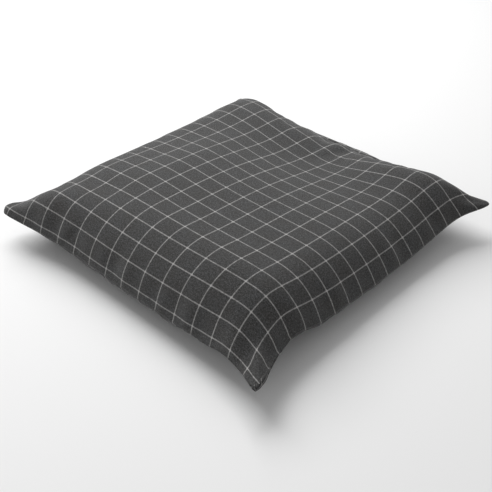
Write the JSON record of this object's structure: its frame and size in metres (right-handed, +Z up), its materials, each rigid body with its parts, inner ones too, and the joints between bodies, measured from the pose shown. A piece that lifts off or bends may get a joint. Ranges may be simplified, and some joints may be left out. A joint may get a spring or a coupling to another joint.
{
  "type": "floor cushion",
  "caption": "Square knife-edge floor cushion: zipped woven cover over a softly filled inner pad, with pointed corners and sides drawn in.",
  "frame": {"origin": "on the floor, under the middle of the cushion's box", "axes": "+Z up through the thickness, +X and +Y along the sides; the zip is in the -X side and the fuller, sagging seam is the -Y side"},
  "size_m": [0.59, 0.582, 0.1141],
  "materials": {
    "cover_cloth": "fine heathered charcoal wool twill with a thin off-white windowpane check",
    "sewing_thread": "spun polyester thread",
    "zip_tape": "woven polyester tape",
    "zip_coil": "nylon monofilament",
    "zip_metal": "gunmetal lacquer",
    "pad_cotton": "unbleached cotton cambric",
    "pad_thread": "cotton thread",
    "filling": "loose fibre filling",
    "label": "blank satin ribbon"
  },
  "bodies": {
    "cushion": {"cover_top": "cover_cloth", "cover_bottom": "cover_cloth", "cover_seam_thread": "sewing_thread", "cover_overlock_thread": "sewing_thread", "zip_tape_upper": "zip_tape", "zip_tape_lower": "zip_tape", "zip_coil_upper": "zip_coil", "zip_coil_lower": "zip_coil", "zip_top_stops": "zip_metal", "zip_bottom_stop": "zip_metal", "zip_stitching_upper": "sewing_thread", "zip_stitching_lower": "sewing_thread", "zip_bartacks": "sewing_thread", "pad_case_top": "pad_cotton", "pad_case_bottom": "pad_cotton", "pad_seam_thread": "pad_thread", "pad_filling": "filling", "care_label": "label"},
    "slider": {"zip_slider": "zip_metal"},
    "pull": {"zip_pull": "zip_metal"}
  },
  "joints": [
    {"name": "zip_slide", "type": "slide", "parent": "cushion", "child": "slider", "axis": [0, -1, 0], "range_m": [0, 0.38]},
    {"name": "pull_hinge", "type": "hinge", "parent": "slider", "child": "pull", "pos_m": [-0.27615, 0.1908, 0.037], "axis": [0, 0, -1], "range_deg": [0, 180]}
  ]
}
